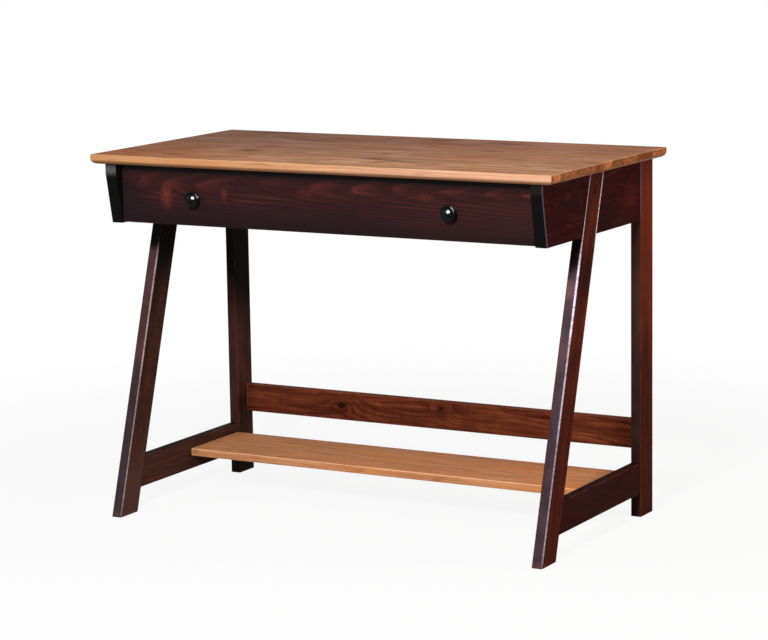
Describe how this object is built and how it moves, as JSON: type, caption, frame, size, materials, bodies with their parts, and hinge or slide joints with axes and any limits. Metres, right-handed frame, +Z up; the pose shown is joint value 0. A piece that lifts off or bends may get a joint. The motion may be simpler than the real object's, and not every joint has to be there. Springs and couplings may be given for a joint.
{
  "type": "laptop desk",
  "caption": "Small wooden writing desk: plank top on splayed end frames, a full-width drawer on telescoping slides, a back stretcher and a footrest shelf.",
  "frame": {"origin": "on the floor, under the middle of the desktop", "axes": "+X to the right as the sitter faces the drawer, +Y from the drawer to the back, +Z up; the drawer opens along -Y"},
  "size_m": [1.067, 0.553, 0.775],
  "materials": {
    "plank_top": "clear satin lacquer over a mid-brown stain, straight grain along the width",
    "footrest_wood": "clear satin lacquer over a honey stain",
    "dark_frame_wood": "very dark red-brown stain under semi-gloss lacquer, worn lighter on the arrises",
    "drawer_front_wood": "dark red-brown stain with cathedral figure, semi-gloss lacquer",
    "back_stretcher_wood": "dark reddish stain, knotty, semi-gloss lacquer",
    "box_maple": "clear matt lacquer",
    "plywood": "clear matt lacquer",
    "rail_wood": "unstained, sealed",
    "dowel_wood": "bare birch",
    "black_metal": "black, polished",
    "slide_steel": "zinc plated",
    "cage_steel": "black phosphate",
    "ball_steel": "polished",
    "screw_steel": "yellow zinc plated",
    "clip_steel": "zinc plated"
  },
  "bodies": {
    "root": {"desktop": "plank_top", "front_leg_left": "dark_frame_wood", "front_leg_right": "dark_frame_wood", "rear_leg_left": "dark_frame_wood", "rear_leg_right": "dark_frame_wood", "side_panel_left": "dark_frame_wood", "side_panel_right": "dark_frame_wood", "side_stretcher_left": "dark_frame_wood", "side_stretcher_right": "dark_frame_wood", "back_stretcher": "back_stretcher_wood", "footrest_shelf": "footrest_wood", "case_back": "dark_frame_wood", "front_rail": "rail_wood", "leg_screws": "screw_steel", "side_stretcher_dowels": "dowel_wood", "back_stretcher_dowels": "dowel_wood", "shelf_dowels": "dowel_wood", "case_back_dowels": "dowel_wood", "front_rail_dowels": "dowel_wood", "front_rail_screws": "screw_steel", "top_clips": "clip_steel", "top_clip_screws": "screw_steel", "slide_outer_left": "slide_steel", "slide_outer_right": "slide_steel", "slide_case_screws": "screw_steel"},
    "drawer": {"drawer_front": "drawer_front_wood", "drawer_box_front": "box_maple", "drawer_box_back": "box_maple", "drawer_side_left": "box_maple", "drawer_side_right": "box_maple", "drawer_bottom": "plywood", "drawer_knob_left": "black_metal", "drawer_knob_right": "black_metal", "knob_screws": "screw_steel", "drawer_front_screws": "screw_steel", "slide_inner_left": "slide_steel", "slide_inner_right": "slide_steel", "slide_drawer_screws": "screw_steel"},
    "middle_member_left": {"slide_middle_left": "slide_steel"},
    "middle_member_right": {"slide_middle_right": "slide_steel"},
    "outer_cage_left": {"ball_cage_outer_left": "cage_steel", "balls_outer_left": "ball_steel"},
    "outer_cage_right": {"ball_cage_outer_right": "cage_steel", "balls_outer_right": "ball_steel"},
    "inner_cage_left": {"ball_cage_inner_left": "cage_steel", "balls_inner_left": "ball_steel"},
    "inner_cage_right": {"ball_cage_inner_right": "cage_steel", "balls_inner_right": "ball_steel"}
  },
  "joints": [
    {"name": "drawer_slide", "type": "slide", "parent": "root", "child": "drawer", "axis": [0, -1, 0], "range_m": [0, 0.4]},
    {"name": "middle_member_left_travel", "type": "slide", "parent": "root", "child": "middle_member_left", "axis": [0, -1, 0], "range_m": [0, 0.2]},
    {"name": "outer_cage_left_travel", "type": "slide", "parent": "root", "child": "outer_cage_left", "axis": [0, -1, 0], "range_m": [0, 0.1]},
    {"name": "inner_cage_left_travel", "type": "slide", "parent": "root", "child": "inner_cage_left", "axis": [0, -1, 0], "range_m": [0, 0.3]},
    {"name": "middle_member_right_travel", "type": "slide", "parent": "root", "child": "middle_member_right", "axis": [0, -1, 0], "range_m": [0, 0.2]},
    {"name": "outer_cage_right_travel", "type": "slide", "parent": "root", "child": "outer_cage_right", "axis": [0, -1, 0], "range_m": [0, 0.1]},
    {"name": "inner_cage_right_travel", "type": "slide", "parent": "root", "child": "inner_cage_right", "axis": [0, -1, 0], "range_m": [0, 0.3]}
  ],
  "couplings": [
    {"joint": "middle_member_left_travel", "follows": "drawer_slide", "ratio": 0.5},
    {"joint": "outer_cage_left_travel", "follows": "drawer_slide", "ratio": 0.25},
    {"joint": "inner_cage_left_travel", "follows": "drawer_slide", "ratio": 0.75},
    {"joint": "middle_member_right_travel", "follows": "drawer_slide", "ratio": 0.5},
    {"joint": "outer_cage_right_travel", "follows": "drawer_slide", "ratio": 0.25},
    {"joint": "inner_cage_right_travel", "follows": "drawer_slide", "ratio": 0.75}
  ]
}
